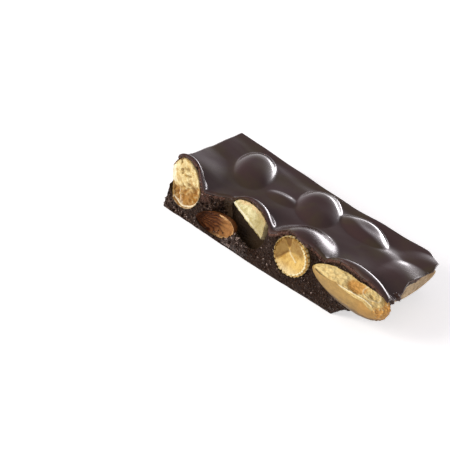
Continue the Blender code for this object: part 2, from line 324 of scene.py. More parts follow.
nuts = {
    "cornerAlmond": {
        "node": "almond_left_corner",
        "slot": "almond_cream",
        "middle": (3.7, -0.2, 8.3),
        "halfSizes": (4.3, 3.0, 5.85),
        "longAxis": (-0.25, 0.0, 1.0),
        "faces": (0.0, -1.0, 0.0),
        "point": 0.04,
        "faceAt": 0.0,
        "crossBreaks": (((1.0, 0.0, 0.0), 3.2, 0.0),),
    },
    "skinAlmond": {
        "node": "almond_skin",
        "slot": "almond_brown_skin",
        "middle": (13.3, 1.2, 3.05),
        "halfSizes": (2.5, 2.8, 5.5),
        "longAxis": (-1.0, 0.0, -0.13),
        "faces": (0.0, -1.0, 0.12),
        "faceAt": 0.5,
    },
    "halfAlmond": {
        "node": "almond_half",
        "slot": "almond_pale",
        "middle": (20.42, 3.13, 6.77),
        "halfSizes": (4.4, 3.0, 6.3),
        "longAxis": (0.952, -0.245, -0.18),
        "faces": (-0.26, -1.0, 0.0),
        "point": -0.13,
        "faceAt": 0.0,
        "crossBreaks": (((-1.0, 0.0, 0.0), 0.1, 0.0), ((0.24, 0.0, 0.97), 5.0, 0.55)),
        "skinRelief": (0.16, 0.9),
    },
    "roundAlmond": {
        "node": "almond_round",
        "slot": "almond_golden",
        "middle": (34.1, 1.4, 6.75),
        "halfSizes": (4.6, 4.6, 6.5),
        "longAxis": (0.0, -1.0, 0.0),
        "faces": (0.0, 0.0, 1.0),
        "point": 0.0,
        "faceAt": 0.7,
    },
    "longAlmond": {
        "node": "almond_long",
        "slot": "almond_tan",
        "middle": (49.6, 1.7, 7.4),
        "halfSizes": (3.5, 3.4, 10.2),
        "longAxis": (-1.0, 0.0, 0.0),
        "faces": (0.0, -0.44, 0.9),
        "faceAt": 2.6,
        "slants": ((3.26, 0.262), (4.34, -0.35)),
    },
    "endAlmond": {
        "node": "almond_right_end",
        "slot": "almond_tan",
        "middle": (55.2, 17.2, 6.65),
        "halfSizes": (1.92, 3.0, 8.3),
        "longAxis": (-0.02, 1.0, 0.09),
        "faces": (1.0, 0.0, 0.0),
        "point": -0.05,
        "faceAt": 0.8,
        "detail": 6,             # it shows least
    },
}
almondForm = {
    "detail": 7,
    "point": 0.13,
    "taperReach": 1.08,
    "breakRim": 0.35,
    "breakCrown": 0.02,
    "skinRelief": (0.05, 1.6),
    "pocketGap": 0.12,
    "pocketDetail": 5,
}


def taperAt(nut, share):
    # The almond's width at this share of its half length, over 1 towards its blunt end
    reach = almondForm["taperReach"]
    return ((reach - share) / (reach + share)) ** nut.get("point", almondForm["point"])


def almondBody(nut, detail, grow=0.0):
    mesh = bmesh.new()
    bmesh.ops.create_icosphere(mesh, subdivisions=detail, radius=1.0)
    halfWidth, halfThick, halfLength = (half + grow for half in nut["halfSizes"])
    for vert in mesh.verts:
        x, y, z = vert.co
        taper = taperAt(nut, z)
        vert.co = Vector((x * taper * halfWidth, y * taper * halfThick, z * halfLength))
    return mesh


def almondPose(nut):
    longAxis = Vector(nut["longAxis"]).normalized()
    face = Vector(nut["faces"])
    thickAxis = (face - face.dot(longAxis) * longAxis).normalized()
    wideAxis = thickAxis.cross(longAxis)
    turn = Matrix((wideAxis, thickAxis, longAxis)).transposed().to_4x4()
    return Matrix.Translation(nut["middle"]) @ turn


def outOfAlmond(nut, pose, place, grow=0.0):
    # Under 1 inside the whole almond, over 1 outside it
    local = pose @ place
    halfWidth, halfThick, halfLength = (half + grow for half in nut["halfSizes"])
    taper = taperAt(nut, min(max(local.z / halfLength, -1.0), 1.0))
    across = (local.x / taper / halfWidth) ** 2 + (local.y / taper / halfThick) ** 2
    return across + (local.z / halfLength) ** 2


def onRim(nut, x, z):
    # 0 in the middle of the broken face, 1 at its rim
    halfWidth, halfThick, halfLength = nut["halfSizes"]
    share = min(max(z / halfLength, -1.0), 1.0)
    taper = taperAt(nut, share)
    left = 1.0 - (nut["faceAt"] / taper / halfThick) ** 2
    return ((x / taper / halfWidth) ** 2 + share ** 2) / max(left, 0.05)


def spot(x, z, middleX, middleZ, halfX, halfZ, turn=0.0):
    # 1 in the middle of a soft oval spot, 0 from its rim outwards
    cosTurn = math.cos(math.radians(turn))
    sinTurn = math.sin(math.radians(turn))
    along = ((x - middleX) * cosTurn + (z - middleZ) * sinTurn) / halfX
    across = ((z - middleZ) * cosTurn - (x - middleX) * sinTurn) / halfZ
    return max(0.0, 1.0 - along * along - across * across)


def nearLine(x, z, start, end, width):
    # 1 on the line between two places, falling off to both sides
    way = Vector(end) - Vector(start)
    share = min(max((Vector((x, z)) - Vector(start)).dot(way) / way.length_squared, 0.0), 1.0)
    away = (Vector((x, z)) - Vector(start) - way * share).length
    return math.exp(-(away / width) ** 2)


def nutNoise(place, depth, size, shift):
    return depth * (wavy(place, size, shift) + 0.5 * wavy(place, size * 0.45, shift + 3.0))


# The broken faces: spots are middle x and z, half sizes and turn, lines are two ends and a width,
# pairs are where an effect starts and is full, and relief is depth, size and shift of the noise

cornerBreak = {
    "pits": (
        (0.90, 5.0, 0.4, 1.0, 0.0), (-0.89, 3.4, 1.0, 0.5, 20.0), (-1.25, 2.0, 1.5, 0.55, -12.0),
        (-1.34, 0.05, 1.0, 0.5, 15.0), (-2.3, -0.9, 0.8, 0.6, -20.0), (0.3, -0.8, 0.8, 0.35, 30.0),
        (0.5, 2.6, 0.5, 0.9, 10.0),
    ),
    "pitDepth": 0.5,
    "shake": 0.5,
    "shakeSize": 0.9,
    "hollowZ": (1.6, -3.3),
    "hollowDepth": 1.1,
    "facetX": (1.6, 2.3),
    "facetZ": (-0.6, -2.0),
    "facetDepth": 0.15,
    "ridge": ((1.75, -1.9), (1.3, -5.1), 0.4),
    "ridgeShare": 0.55,
    "ridgeHeight": 0.15,
    "stainZ": (2.6, 0.8),
    "glareX": (1.6, 3.0),
    "glareZ": (-1.0, 0.5),
    "lowRimZ": (-2.0, -4.0),
    "rimDrop": 0.7,
    "relief": (0.26, 1.4, 4.0),
}


def cornerFace(place):
    c = cornerBreak
    x, z = place.x, place.z
    shakes = [c["shake"] * wavy(place, c["shakeSize"], shift) for shift in (1.0, 5.0)]
    shaken = place + Vector((shakes[0], 0.0, shakes[1]))
    pit = max(spot(shaken.x, shaken.z, *one) for one in c["pits"])
    edge = onRim(nuts["cornerAlmond"], x, z)
    low = smoothStep(*c["hollowZ"], z + 0.8 * wavy(place, 1.2, 3.0))
    hollow = low * smoothStep(1.0, 0.8, edge) * (0.85 + 0.6 * wavy(place, 0.8, 7.0))
    facet = smoothStep(*c["facetX"], x) * smoothStep(*c["facetZ"], z)
    ridge = c["ridgeShare"] * nearLine(shaken.x, shaken.z, *c["ridge"])
    stain = 0.5 * smoothStep(-0.1, 0.25, wavy(place, 1.5, 14.0)) * smoothStep(*c["stainZ"], z)
    glare = smoothStep(*c["glareX"], x + 0.4 * wavy(place, 1.0, 2.0)) * smoothStep(*c["glareZ"], z)
    lowRim = smoothStep(0.78, 0.92, edge) * smoothStep(*c["lowRimZ"], z)
    height = c["ridgeHeight"] * ridge - c["pitDepth"] * pit - c["hollowDepth"] * hollow
    height -= c["facetDepth"] * facet
    height += nutNoise(place, *c["relief"]) - c["rimDrop"] * smoothStep(0.84, 1.0, edge) ** 2
    # The facet turned to the left is painted brown as painted shade, the pits are painted darker as painted
    # shade, and the hollow and stains are painted orange-brown
    masks = {"hollow": max(hollow, 0.6 * facet, stain), "pit": 0.75 * pit ** 0.8}
    # Painted highlight: the ridge, the low rim and the glare at the left are painted lighter
    masks["rim"] = max(ridge, lowRim, glare)
    return height, masks


skinBreak = {
    "dish": (0.0, -0.2, 2.9, 5.4),
    "dishDepth": 1.9,
    "fanStart": 6.2,
    "fanRidges": 46.0,
    "ridgeHeight": 0.13,
    "flap": (-2.0, -1.6, 0.8, 1.6),
    "flapHeight": 0.5,
    "rimZ": (2.5, -1.5),
    "rimHeight": 0.18,
    "brightZ": (1.6, -3.6),
    "relief": (0.1, 1.1, 6.0),
}


def skinFace(place):
    s = skinBreak
    x, z = place.x, place.z
    inside = spot(x, z, *s["dish"])
    fan = math.atan2(x, s["fanStart"] - z)
    streak = math.cos(fan * s["fanRidges"] + 3.0 * wavy(place, 1.3, 2.0) + 1.6 * wavy(place, 0.5, 4.0))
    ridges = s["ridgeHeight"] * streak * min(1.0, 3.0 * inside)
    flap = spot(x, z, *s["flap"])
    rim = smoothStep(0.7, 0.95, onRim(nuts["skinAlmond"], x, z)) * smoothStep(*s["rimZ"], z)
    # Painted light: the face is painted a lighter orange towards its right end
    bright = smoothStep(*s["brightZ"], z + 0.6 * wavy(place, 1.2, 8.0))
    height = s["rimHeight"] * rim - s["dishDepth"] * inside ** 0.7 + ridges + s["flapHeight"] * flap
    height += nutNoise(place, *s["relief"])
    # The streaks are darker in their grooves, partly the skin's own pattern and partly painted shade, and
    # darker still towards the left end as painted shade
    dark = (0.5 - 0.5 * streak) * (0.75 - 0.4 * bright) * min(1.0, 3.0 * inside)
    # Painted highlight: the rim at the right end and the curled flap are painted lighter
    return height, {"hollow": bright, "pit": dark, "rim": max(0.8 * rim, flap ** 0.5)}


halfBreak = {
    "seamAt": 0.25,
    "seamWidth": 0.3,
    "seamHeight": 0.1,
    "outerX": (0.5, 2.5),
    "shadeZ": (-3.5, 3.0),
    "shade": 0.62,
    "relief": (0.3, 1.1, 8.0),
}


def halfFace(place):
    h = halfBreak
    x, z = place.x, place.z
    edge = onRim(nuts["halfAlmond"], x, z)
    seam = math.exp(-((x - h["seamAt"]) / h["seamWidth"]) ** 2)
    outer = smoothStep(0.5, 0.95, edge + 0.35 * wavy(place, 0.9, 2.0)) * smoothStep(*h["outerX"], x)
    height = h["seamHeight"] * seam + nutNoise(place, *h["relief"])
    pit = smoothStep(0.25, 0.6, wavy(place, 0.8, 5.0))
    # Painted shade: the face is painted darker towards its lower end
    low = h["shade"] * smoothStep(*h["shadeZ"], z + 0.8 * wavy(place, 1.5, 9.0))
    return height, {"hollow": outer, "pit": max(pit * 0.5, low), "rim": seam}


longBreak = {
    "ridgeX": (1.55, 0.45),      # least, and how much further out by the middle
    "ridgeEnds": (7.0, -7.0),
    "ridgeWidth": 0.16,
    "ridgeHeight": 0.17,
    "hollow": (-0.2, -1.7, 1.8, 3.0),
    "hollowDepth": 0.75,
    "oval": (-0.6, -5.3, 1.35, 2.1),
    "ovalDepth": 0.3,
    "ringShare": 0.65,
    "pit": (-0.2, -5.7, 0.5, 0.9, 20.0),
    "pitDepth": 0.45,
    "crease": ((0.98, 8.6), (2.3, 4.4), 0.42),
    "creaseDepth": 0.7,
    "relief": (0.24, 1.0, 9.0),
    "tipZ": (-7.3, -8.7),
    "tipGrain": 0.8,
    "tipDepth": 0.34,
    "bellyShade": (0.28, 0.17),
    "bellyFall": (0.8, -0.8),
    "underShade": 0.8,
    "underFall": (-0.7, -2.0),
}


def longFace(place):
    b = longBreak
    x, z = place.x, place.z
    least, further = b["ridgeX"]
    ridge = least + further * smoothStep(-7.0, 2.0, z) * (1.0 - smoothStep(4.0, 9.0, z))
    hollow = spot(x, z, *b["hollow"])
    ovalX, ovalZ, ovalHalfX, ovalHalfZ = b["oval"]
    oval = math.hypot((x - ovalX) / ovalHalfX, (z - ovalZ) / ovalHalfZ)
    ring = math.exp(-((oval - 1.0) / 0.13) ** 2) + 0.6 * math.exp(-((oval - 0.66) / 0.1) ** 2)
    pit = spot(x, z, *b["pit"])
    crease = nearLine(x, z, *b["crease"])
    top, foot = b["ridgeEnds"]
    rim = max(nearLine(x, z, (ridge, top), (ridge, foot), b["ridgeWidth"]), ring * b["ringShare"])
    height = b["ridgeHeight"] * rim - b["hollowDepth"] * hollow ** 0.8 - b["creaseDepth"] * crease
    pits = nutNoise(place, *b["relief"]) - b["pitDepth"] * pit
    height += pits - b["ovalDepth"] * max(0.0, 1.0 - oval) ** 0.5
    warm = max(smoothStep(0.0, 0.75, hollow), smoothStep(-8.0, -9.6, z))
    # The ridge line along the face's edge is painted lighter as a painted highlight; the pit and the crease
    # are painted darker as painted shade
    return height, {"hollow": warm, "pit": max(0.45 * pit, crease), "rim": rim}


endBreak = {"rimX": (0.3, 0.8), "warm": (0.3, 6.0, 1.2, 2.0), "relief": (0.14, 1.0, 11.0)}


def endFace(place):
    edge = onRim(nuts["endAlmond"], place.x, place.z)
    rim = smoothStep(*endBreak["rimX"], place.x) * smoothStep(0.5, 0.95, edge)
    warm = spot(place.x, place.z, *endBreak["warm"])
    # Painted highlight: the upper rim of the face is painted lighter
    return nutNoise(place, *endBreak["relief"]), {"hollow": warm, "pit": 0.0, "rim": rim}


faceForms = {
    "cornerAlmond": cornerFace,
    "skinAlmond": skinFace,
    "halfAlmond": halfFace,
    "longAlmond": longFace,
    "endAlmond": endFace,
}


def breakFace(mesh, nut, faceForm, layers):
    for vert in mesh.verts:
        slants = [far - slope * vert.co.z for far, slope in nut.get("slants", ())]
        facePlane = min([nut["faceAt"]] + slants)
        beyond = vert.co.y - facePlane
        if beyond > 0.0:
            vert.co.y = facePlane
            height, masks = faceForm(vert.co)
            rim = min(1.0, beyond / almondForm["breakRim"])
            vert.co.y += height * rim + almondForm["breakCrown"] * beyond
            paint(vert, layers, fresh=1.0, **masks)


def breakHalf(mesh, toward, distance, hollow, layers):
    # The points move along one axis of the nut, so that a second break doesn't fold the first
    toward = Vector(toward)
    axis = max(range(3), key=lambda one: abs(toward[one]))
    outward = math.copysign(1.0, toward[axis])
    for vert in mesh.verts:
        beyond = (vert.co.dot(toward) - distance) / abs(toward[axis])
        if beyond > 0.0:
            vert.co[axis] -= outward * beyond
            height = nutNoise(vert.co, 0.15, 1.4, 5.0) * min(1.0, beyond / almondForm["breakRim"])
            vert.co[axis] += outward * (height + almondForm["breakCrown"] * beyond)
            paint(vert, layers, fresh=1.0, hollow=max(vert[layers["hollow"]], hollow))


roundBreak = {
    "teeth": 27,
    "toothDepth": 0.30,
    "toothReach": (3.4, 4.4),
    "toothZ": (-0.5, 0.3),
    "freshZ": (-0.3, 0.2),
    "centre": (-0.95, 0.79),
    "radius": 4.6,
    "fibres": 90,
    "fibreHeight": 0.05,
    "domeDepth": 0.75,
    "crease": ((-3.2, -2.2), 0.3),
    "creaseDepth": 0.3,
    "ridge": ((1.4, -0.5), 0.32),
    "ridgeHeight": 0.32,
    "wedgeAngles": ((1.42, 1.72), (2.5, 2.1)),
    "wedgeDepth": 0.35,
    "leftAngles": ((2.0, 2.5), (-1.9, -2.4)),
    "topAngles": ((-0.5, 0.4), (1.7, 1.5)),
    "bandReach": ((3.7, 3.9), (4.3, 4.15)),
    "bandHeight": 0.12,
    "rimReach": (4.1, 4.7),
    "rimDrop": 0.5,
    "relief": (0.16, 1.5, 2.0),
}


def between(pairs, value):
    first, second = pairs
    return smoothStep(*first, value) * smoothStep(*second, value)


def roundFace(mesh, nut, layers):
    # The break across the round almond: radial fibres, creases and a toothed rim
    r = roundBreak
    centre = Vector(r["centre"])
    for vert in mesh.verts:
        flat = Vector((vert.co.x, vert.co.y))
        around = math.atan2(flat.y, flat.x)
        far = flat.length
        tooth = abs(math.sin(r["teeth"] * around / 2.0 + 1.4 * wavy(vert.co, 1.6, 7.0)))
        near = smoothStep(*r["toothReach"], far) * smoothStep(*r["toothZ"], vert.co.z)
        shrink = r["toothDepth"] * (1.0 - tooth) ** 1.5 * near
        if far > 0.1:
            vert.co.x -= flat.x / far * shrink
            vert.co.y -= flat.y / far * shrink
        outerBand = smoothStep(*r["freshZ"], vert.co.z)
        paint(vert, layers, fresh=outerBand, rim=0.65 * outerBand * tooth)
        if vert.co.z > nut["faceAt"]:
            vert.co.z = nut["faceAt"]
            out = Vector((vert.co.x, vert.co.y)) - centre
            angle = math.atan2(out.y, out.x)
            share = min(1.0, out.length / r["radius"])
            fibre = math.cos(r["fibres"] * angle / 2.0 + 3.0 * wavy(vert.co, 1.3, 1.0))
            crease = nearLine(vert.co.x, vert.co.y, centre, *r["crease"])
            ridge = nearLine(vert.co.x, vert.co.y, centre, *r["ridge"])
            wedge = between(r["wedgeAngles"], angle) * smoothStep(0.0, 0.35, share)
            wedge *= smoothStep(0.95, 0.72, share)
            band = between(r["bandReach"], far) * smoothStep(2.0, 0.6, abs(around + 0.2))
            # painted shade: the left and top sectors and the wedge are painted darker than the one below
            leftShade = 1.2 * sum(smoothStep(*pair, angle) for pair in r["leftAngles"])
            topShade = between(r["topAngles"], angle)
            shade = (0.58 * leftShade + 0.6 * topShade) * smoothStep(1.0, 0.8, share)
            height = r["fibreHeight"] * fibre * share - r["domeDepth"] * (1.0 - share) ** 1.2
            height += r["ridgeHeight"] * ridge - r["creaseDepth"] * crease - r["wedgeDepth"] * wedge
            height += r["bandHeight"] * band - r["rimDrop"] * smoothStep(*r["rimReach"], far)
            vert.co.z += height + nutNoise(vert.co, *r["relief"])
            # The crease is painted darker as painted shade; the ridge and a band by the right rim are
            # painted lighter as painted highlights, and the lower part lighter as painted light
            pit = max(crease * 0.5, smoothStep(4.2, 4.6, far) * 0.15)
            rim = max(0.65 * ridge, band, 0.6 * smoothStep(0.0, -4.5, vert.co.y))
            paint(vert, layers, fresh=1.0, hollow=max(wedge, shade), pit=pit, rim=rim)


def roughenSkin(mesh, layers, depth, size):
    mesh.normal_update()
    for vert in mesh.verts:
        if vert[layers["fresh"]] < 0.5:
            vert.co += vert.normal * nutNoise(vert.co, depth, size, 12.0)


def roughenTip(mesh, layers):
    # The long almond's blunt tip broke into rough bits, and its belly is painted darker downwards as
    # painted shade
    b = longBreak
    fresh, hollow, pit, rim = (layers[mask] for mask in nutMasks)
    base, more = b["bellyShade"]
    mesh.normal_update()
    for vert in mesh.verts:
        tip = smoothStep(*b["tipZ"], vert.co.z + 0.9 * wavy(vert.co, 1.3, 4.0))
        near = nearGrain(vert.co, b["tipGrain"], 3.0)
        if vert[fresh] < 0.5:
            # height in the piece, 1.6 by the split face and -2.9 at the lower outline
            down = 0.9 * vert.co.y - 0.44 * vert.co.x + 0.25 * wavy(vert.co, 1.5, 2.0)
            belly = (base + more * smoothStep(*b["bellyFall"], down)) * (1.0 - 0.2 * tip)
            vert[pit] = max(belly, b["underShade"] * smoothStep(*b["underFall"], down))
            vert[hollow] = 0.5 * smoothStep(-1.0, -6.0, vert.co.z)
        if tip > 0.0:
            bits = b["tipDepth"] * min(near, 1.0) + 0.12 * abs(wavy(vert.co, 0.5, 6.0))
            vert.co -= vert.normal * tip * bits
            vert[hollow] = max(vert[hollow], tip * (0.55 + 0.45 * smoothStep(0.2, 0.6, near)))
            vert[rim] = max(vert[rim], tip * smoothStep(0.3, 0.1, near) * 0.8)


def toObject(name, mesh):
    data = bpy.data.meshes.new(name)
    mesh.to_mesh(data)
    mesh.free()
    made = bpy.data.objects.new(name, data)
    bpy.context.scene.collection.objects.link(made)
    return made


def linkPiece(name, mesh, materials, node):
    # From working millimetres to metres, kept inside the solids' box
    bmesh.ops.translate(mesh, verts=mesh.verts, vec=workCorner)
    bmesh.ops.scale(mesh, verts=mesh.verts, vec=(mm, mm, mm))
    low, high = cadBox
    for vert in mesh.verts:
        vert.co = Vector([min(max(part, least), most) for part, least, most in zip(vert.co, low, high)])
    piece = toObject(name, mesh)
    piece.data.shade_smooth()
    for one in materials:
        piece.data.materials.append(one)
    if node:
        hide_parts(node)
    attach(piece, "root")
    return piece


def makeNut(name, nut, material):
    mesh = almondBody(nut, nut.get("detail", almondForm["detail"]))
    layers = addMasks(mesh, nutMasks)
    if name in faceForms:
        breakFace(mesh, nut, faceForms[name], layers)
    else:
        roundFace(mesh, nut, layers)
    for toward, distance, hollow in nut.get("crossBreaks", ()):
        breakHalf(mesh, toward, distance, hollow, layers)
    roughenSkin(mesh, layers, *nut.get("skinRelief", almondForm["skinRelief"]))
    if name == "longAlmond":
        roughenTip(mesh, layers)
    own = mesh.verts.layers.float_vector.new("ownPlace")
    for vert in mesh.verts:
        vert[own] = vert.co
    bmesh.ops.transform(mesh, matrix=almondPose(nut), verts=mesh.verts)
    piece = linkPiece(name, mesh, [material], nut["node"])
    print("made", name, len(piece.data.polygons), "faces")
    return piece


def cutPockets(mesh):
    # The almonds' places are cut out of the slab, and the cut mesh comes back
    uncut = toObject("uncutSlab", mesh)
    cutters = []
    for name, nut in nuts.items():
        body = almondBody(nut, almondForm["pocketDetail"], almondForm["pocketGap"])
        bmesh.ops.transform(body, matrix=almondPose(nut), verts=body.verts)
        cutters.append(toObject("pocket", body))
        pocket = uncut.modifiers.new(name, "BOOLEAN")
        pocket.operation = "DIFFERENCE"
        pocket.solver = "EXACT"
        pocket.object = cutters[-1]
    depsgraph = bpy.context.evaluated_depsgraph_get()
    cutData = bpy.data.meshes.new_from_object(uncut.evaluated_get(depsgraph))
    for thing in [uncut] + cutters:
        bpy.data.objects.remove(thing, do_unlink=True)
    cut = bmesh.new()
    cut.from_mesh(cutData)
    bpy.data.meshes.remove(cutData)
    bmesh.ops.triangulate(cut, faces=[face for face in cut.faces if len(face.verts) > 4])
    return cut


def makeSlab(poured, broken):
    mesh = latticeBox(slabShape["cells"])
    under = [face for face in mesh.faces if all(vert.co.z < nearly for vert in face.verts)]
    bmesh.ops.dissolve_faces(mesh, faces=under, use_verts=True)
    for vert in mesh.verts:
        vert.co = slabPoint(*vert.co)
    bmesh.ops.recalc_face_normals(mesh, faces=mesh.faces)
    print("slab lattice", len(mesh.faces), "faces")
    mesh = cutPockets(mesh)
    refineBreaks(mesh)
    print("slab cut", len(mesh.faces), "faces")
    breakWalls(mesh)
    gloss = mesh.verts.layers.float["poured"]
    for face in mesh.faces:
        face.material_index = 0 if min(vert[gloss] for vert in face.verts) > 0.5 else 1
    return linkPiece("chocolateBark", mesh, [poured, broken], "chocolate_slab")


def refineBreaks(mesh):
    # Smaller faces on the front wall and the right end, where the break shows
    w = brokenWall
    toFront, toRight = w["finerNormals"]
    mesh.normal_update()
    shown = {}
    for face in mesh.faces:
        middle = face.calc_center_median()
        deep = pouredHeight(middle.x, middle.y) - middle.z > w["finerDepth"]
        inFront = face.normal.y < toFront and middle.y < w["finerFrontY"]
        if deep and middle.z > w["finerHeight"] and (inFront or face.normal.x > toRight):
            shown.update(dict.fromkeys(face.edges))
    bmesh.ops.subdivide_edges(mesh, edges=list(shown), cuts=1, use_grid_fill=True)
    many = [face for face in mesh.faces if len(face.verts) > 4 and face.calc_center_median().z > nearly]
    bmesh.ops.triangulate(mesh, faces=many)


def breakWalls(mesh):
    w = brokenWall
    gap = almondForm["pocketGap"]
    relief, reliefSize = w["pocketRelief"]
    layers = addMasks(mesh, slabMasks)
    poses = {name: (nut, almondPose(nut).inverted()) for name, nut in nuts.items()}
    mesh.normal_update()
    moved = []
    for vert in mesh.verts:
        place = vert.co
        depth = pouredHeight(place.x, place.y) - place.z
        if place.z < nearly:
            continue
        outs = [abs(outOfAlmond(*one, place, gap) - 1.0) for one in poses.values()]
        pocket = 1.0 if min(outs) < w["pocketSkin"] else 0.0
        poured = (1.0 - smoothStep(*w["pouredDepth"], depth)) * (1.0 - pocket)
        lip = smoothStep(*w["lipFade"], depth) * (1.0 - poured)
        satin = spot(place.x, place.y, *pouredTop["satinSpot"]) ** 0.5
        paint(vert, layers, poured=poured, pocket=pocket, lip=lip, satin=satin)
        if poured > 0.5:
            continue
        broken = smoothStep(*w["breakDepth"], depth) * smoothStep(*w["footHeight"], place.z)
        if pocket > 0.5:
            moved.append((vert, vert.normal * relief * broken * wavy(place, reliefSize, 3.0)))
            continue
        crumbly = smoothStep(*w["crumblyX"], place.x) * smoothStep(*w["crumblyY"], place.y)
        bubbly = smoothStep(*w["bubblyX"], place.x) * crumbly
        printed = smoothStep(*w["printReach"], outOfAlmond(*poses["halfAlmond"], place))
        printed *= smoothStep(*w["printEnds"], place.x)
        wedge = smoothStep(*w["wedgeReach"], outOfAlmond(*poses["cornerAlmond"], place))
        wedge *= smoothStep(*w["wedgeHeight"], place.z) * smoothStep(*w["wedgeX"], place.x)
        smooth = max(printed, wedge)
        near = nearGrain(place, w["crumbSize"])
        nearFine = nearGrain(place, w["grainSize"], 4.0)
        nearPore = nearGrain(place, w["poreSize"], 8.0)
        height = w["ledgeDepth"] * wavy(place, w["ledgeSize"], 2.0)
        height += w["crumbDepth"] * (0.45 - near) * (0.45 + 0.55 * crumbly)
        height += w["grainDepth"] * (0.45 - nearFine)
        height -= w["poreDepth"] * bubbly * (1.0 - smoothStep(*w["poreRim"], nearPore))
        height *= 1.0 - w["smoothing"] * smooth
        hugging = smoothStep(*w["collarReach"], outOfAlmond(*poses["longAlmond"], place, gap))
        height += w["collar"] * hugging * smoothStep(*w["collarHeight"], place.z)
        moved.append((vert, vert.normal * height * broken))
        # painted highlight: the rings round the pores and the tips of the crumbs are painted lighter
        ring = smoothStep(0.3, 0.42, nearPore) * smoothStep(0.58, 0.46, nearPore)
        crest = max(bubbly * ring, (1.0 - bubbly) * smoothStep(0.3, 0.1, near))
        crest *= (0.4 + 0.6 * crumbly) * (1.0 - smooth)
        paint(vert, layers, pocket=0.9 * printed, lip=max(lip, 0.6 * wedge), crest=crest)
    for vert, shift in moved:
        vert.co += shift
        vert.co.z = max(vert.co.z, 0.0)


# Materials, with their nodes laid out in rows in the order that they are made

nodeLayout = {"perRow": 8, "across": 220, "down": 300}


def addNode(tree, kind, inputs=None, **settings):
    row, column = divmod(len(tree.nodes), nodeLayout["perRow"])
    node = tree.nodes.new(kind)
    node.location = (column * nodeLayout["across"], -row * nodeLayout["down"])
    for name, value in settings.items():
        setattr(node, name, value)
    feed(tree, node, inputs or {})
    return node


def feed(tree, node, inputs):
    # Each value is a socket, a number or a colour
    for name, value in inputs.items():
        socket = node.inputs[name]
        if isinstance(value, bpy.types.NodeSocket):
            tree.links.new(value, socket)
        elif socket.type == "RGBA":
            socket.default_value = (*value, 1.0)
        else:
            socket.default_value = value


def newMaterial(name):
    material = bpy.data.materials.new(name)
    material.use_nodes = True
    tree = material.node_tree
    return material, tree, tree.nodes["Principled BSDF"]


def newGroup(name, inputs, outputs):
    # Inputs by name and kind, outputs all plain numbers
    group = bpy.data.node_groups.new(name, "ShaderNodeTree")
    for socket, kind in inputs.items():
        group.interface.new_socket(socket, in_out="INPUT", socket_type="NodeSocket" + kind)
    for socket in outputs:
        group.interface.new_socket(socket, in_out="OUTPUT", socket_type="NodeSocketFloat")
    return group, addNode(group, "NodeGroupInput").outputs, addNode(group, "NodeGroupOutput")


def mixColours(tree, factor, first, second):
    node = addNode(tree, "ShaderNodeMix", data_type="RGBA")
    feed(tree, node, {0: factor, 6: first, 7: second})
    return node.outputs[2]


def calculate(tree, operation, *values):
    return addNode(tree, "ShaderNodeMath", dict(enumerate(values)), operation=operation).outputs[0]


def rescale(tree, value, low, high, newLow=0.0, newHigh=1.0):
    inputs = {"Value": value, "From Min": low, "From Max": high, "To Min": newLow, "To Max": newHigh}
    return addNode(tree, "ShaderNodeMapRange", inputs, interpolation_type="SMOOTHSTEP").outputs["Result"]


def readMask(tree, name):
    return addNode(tree, "ShaderNodeAttribute", attribute_name=name).outputs["Fac"]


def addNoise(tree, place, *values):
    inputs = dict(zip(("Scale", "Detail", "Roughness", "Distortion"), values), Vector=place)
    return addNode(tree, "ShaderNodeTexNoise", inputs).outputs["Fac"]


def stretch(tree, place, sizes):
    return addNode(tree, "ShaderNodeMapping", {"Vector": place, "Scale": sizes}).outputs["Vector"]


def addBump(tree, shader, strength, distance):
    bump = addNode(tree, "ShaderNodeBump", {"Strength": strength, "Distance": distance * mm})
    feed(tree, shader, {"Normal": bump.outputs["Normal"]})
    return bump


# Noises are scale, detail, roughness and distortion, and bumps are strength and millimetres
nutFlesh = {
    "patches": (0.7, 4.0, 0.62, 0.6),
    "streaks": (1.0, 3.0, 0.6, 0.3),
    "streakSizes": (2.6, 2.6, 0.35),
    "fine": (5.5, 3.0, 0.6, 0.0),
    "fineShare": 0.35,
    "patchRange": (0.36, 0.62),
    "skinDark": 0.72,
    "maskShares": {"hollow": (0.1, 0.85), "rim": (0.15, 0.9), "pit": (0.08, 0.9)},
    "bump": (0.5, 0.12),
    "roughness": (0.3, 0.7, 0.42, 0.62),
    "specular": 0.35,
}


def makeMottleGroup():
    # Patches and fine grain of a nut's flesh, with streaks along its length
    n = nutFlesh
    inputs = {"Place": "Vector", "Streak Share": "Float"}
    group, start, end = newGroup("nutMottle", inputs, ("Mottle", "Height"))
    place = start["Place"]
    patch = addNoise(group, place, *n["patches"])
    streak = addNoise(group, stretch(group, place, n["streakSizes"]), *n["streaks"])
    fine = addNoise(group, place, *n["fine"])
    mixed = addNode(group, "ShaderNodeMix", {0: start["Streak Share"], 2: patch, 3: streak}).outputs[0]
    withFine = calculate(group, "MULTIPLY_ADD", fine, n["fineShare"], mixed)
    centred = calculate(group, "SUBTRACT", withFine, 0.5 * n["fineShare"])
    feed(group, end, {"Mottle": centred, "Height": withFine})
    return group
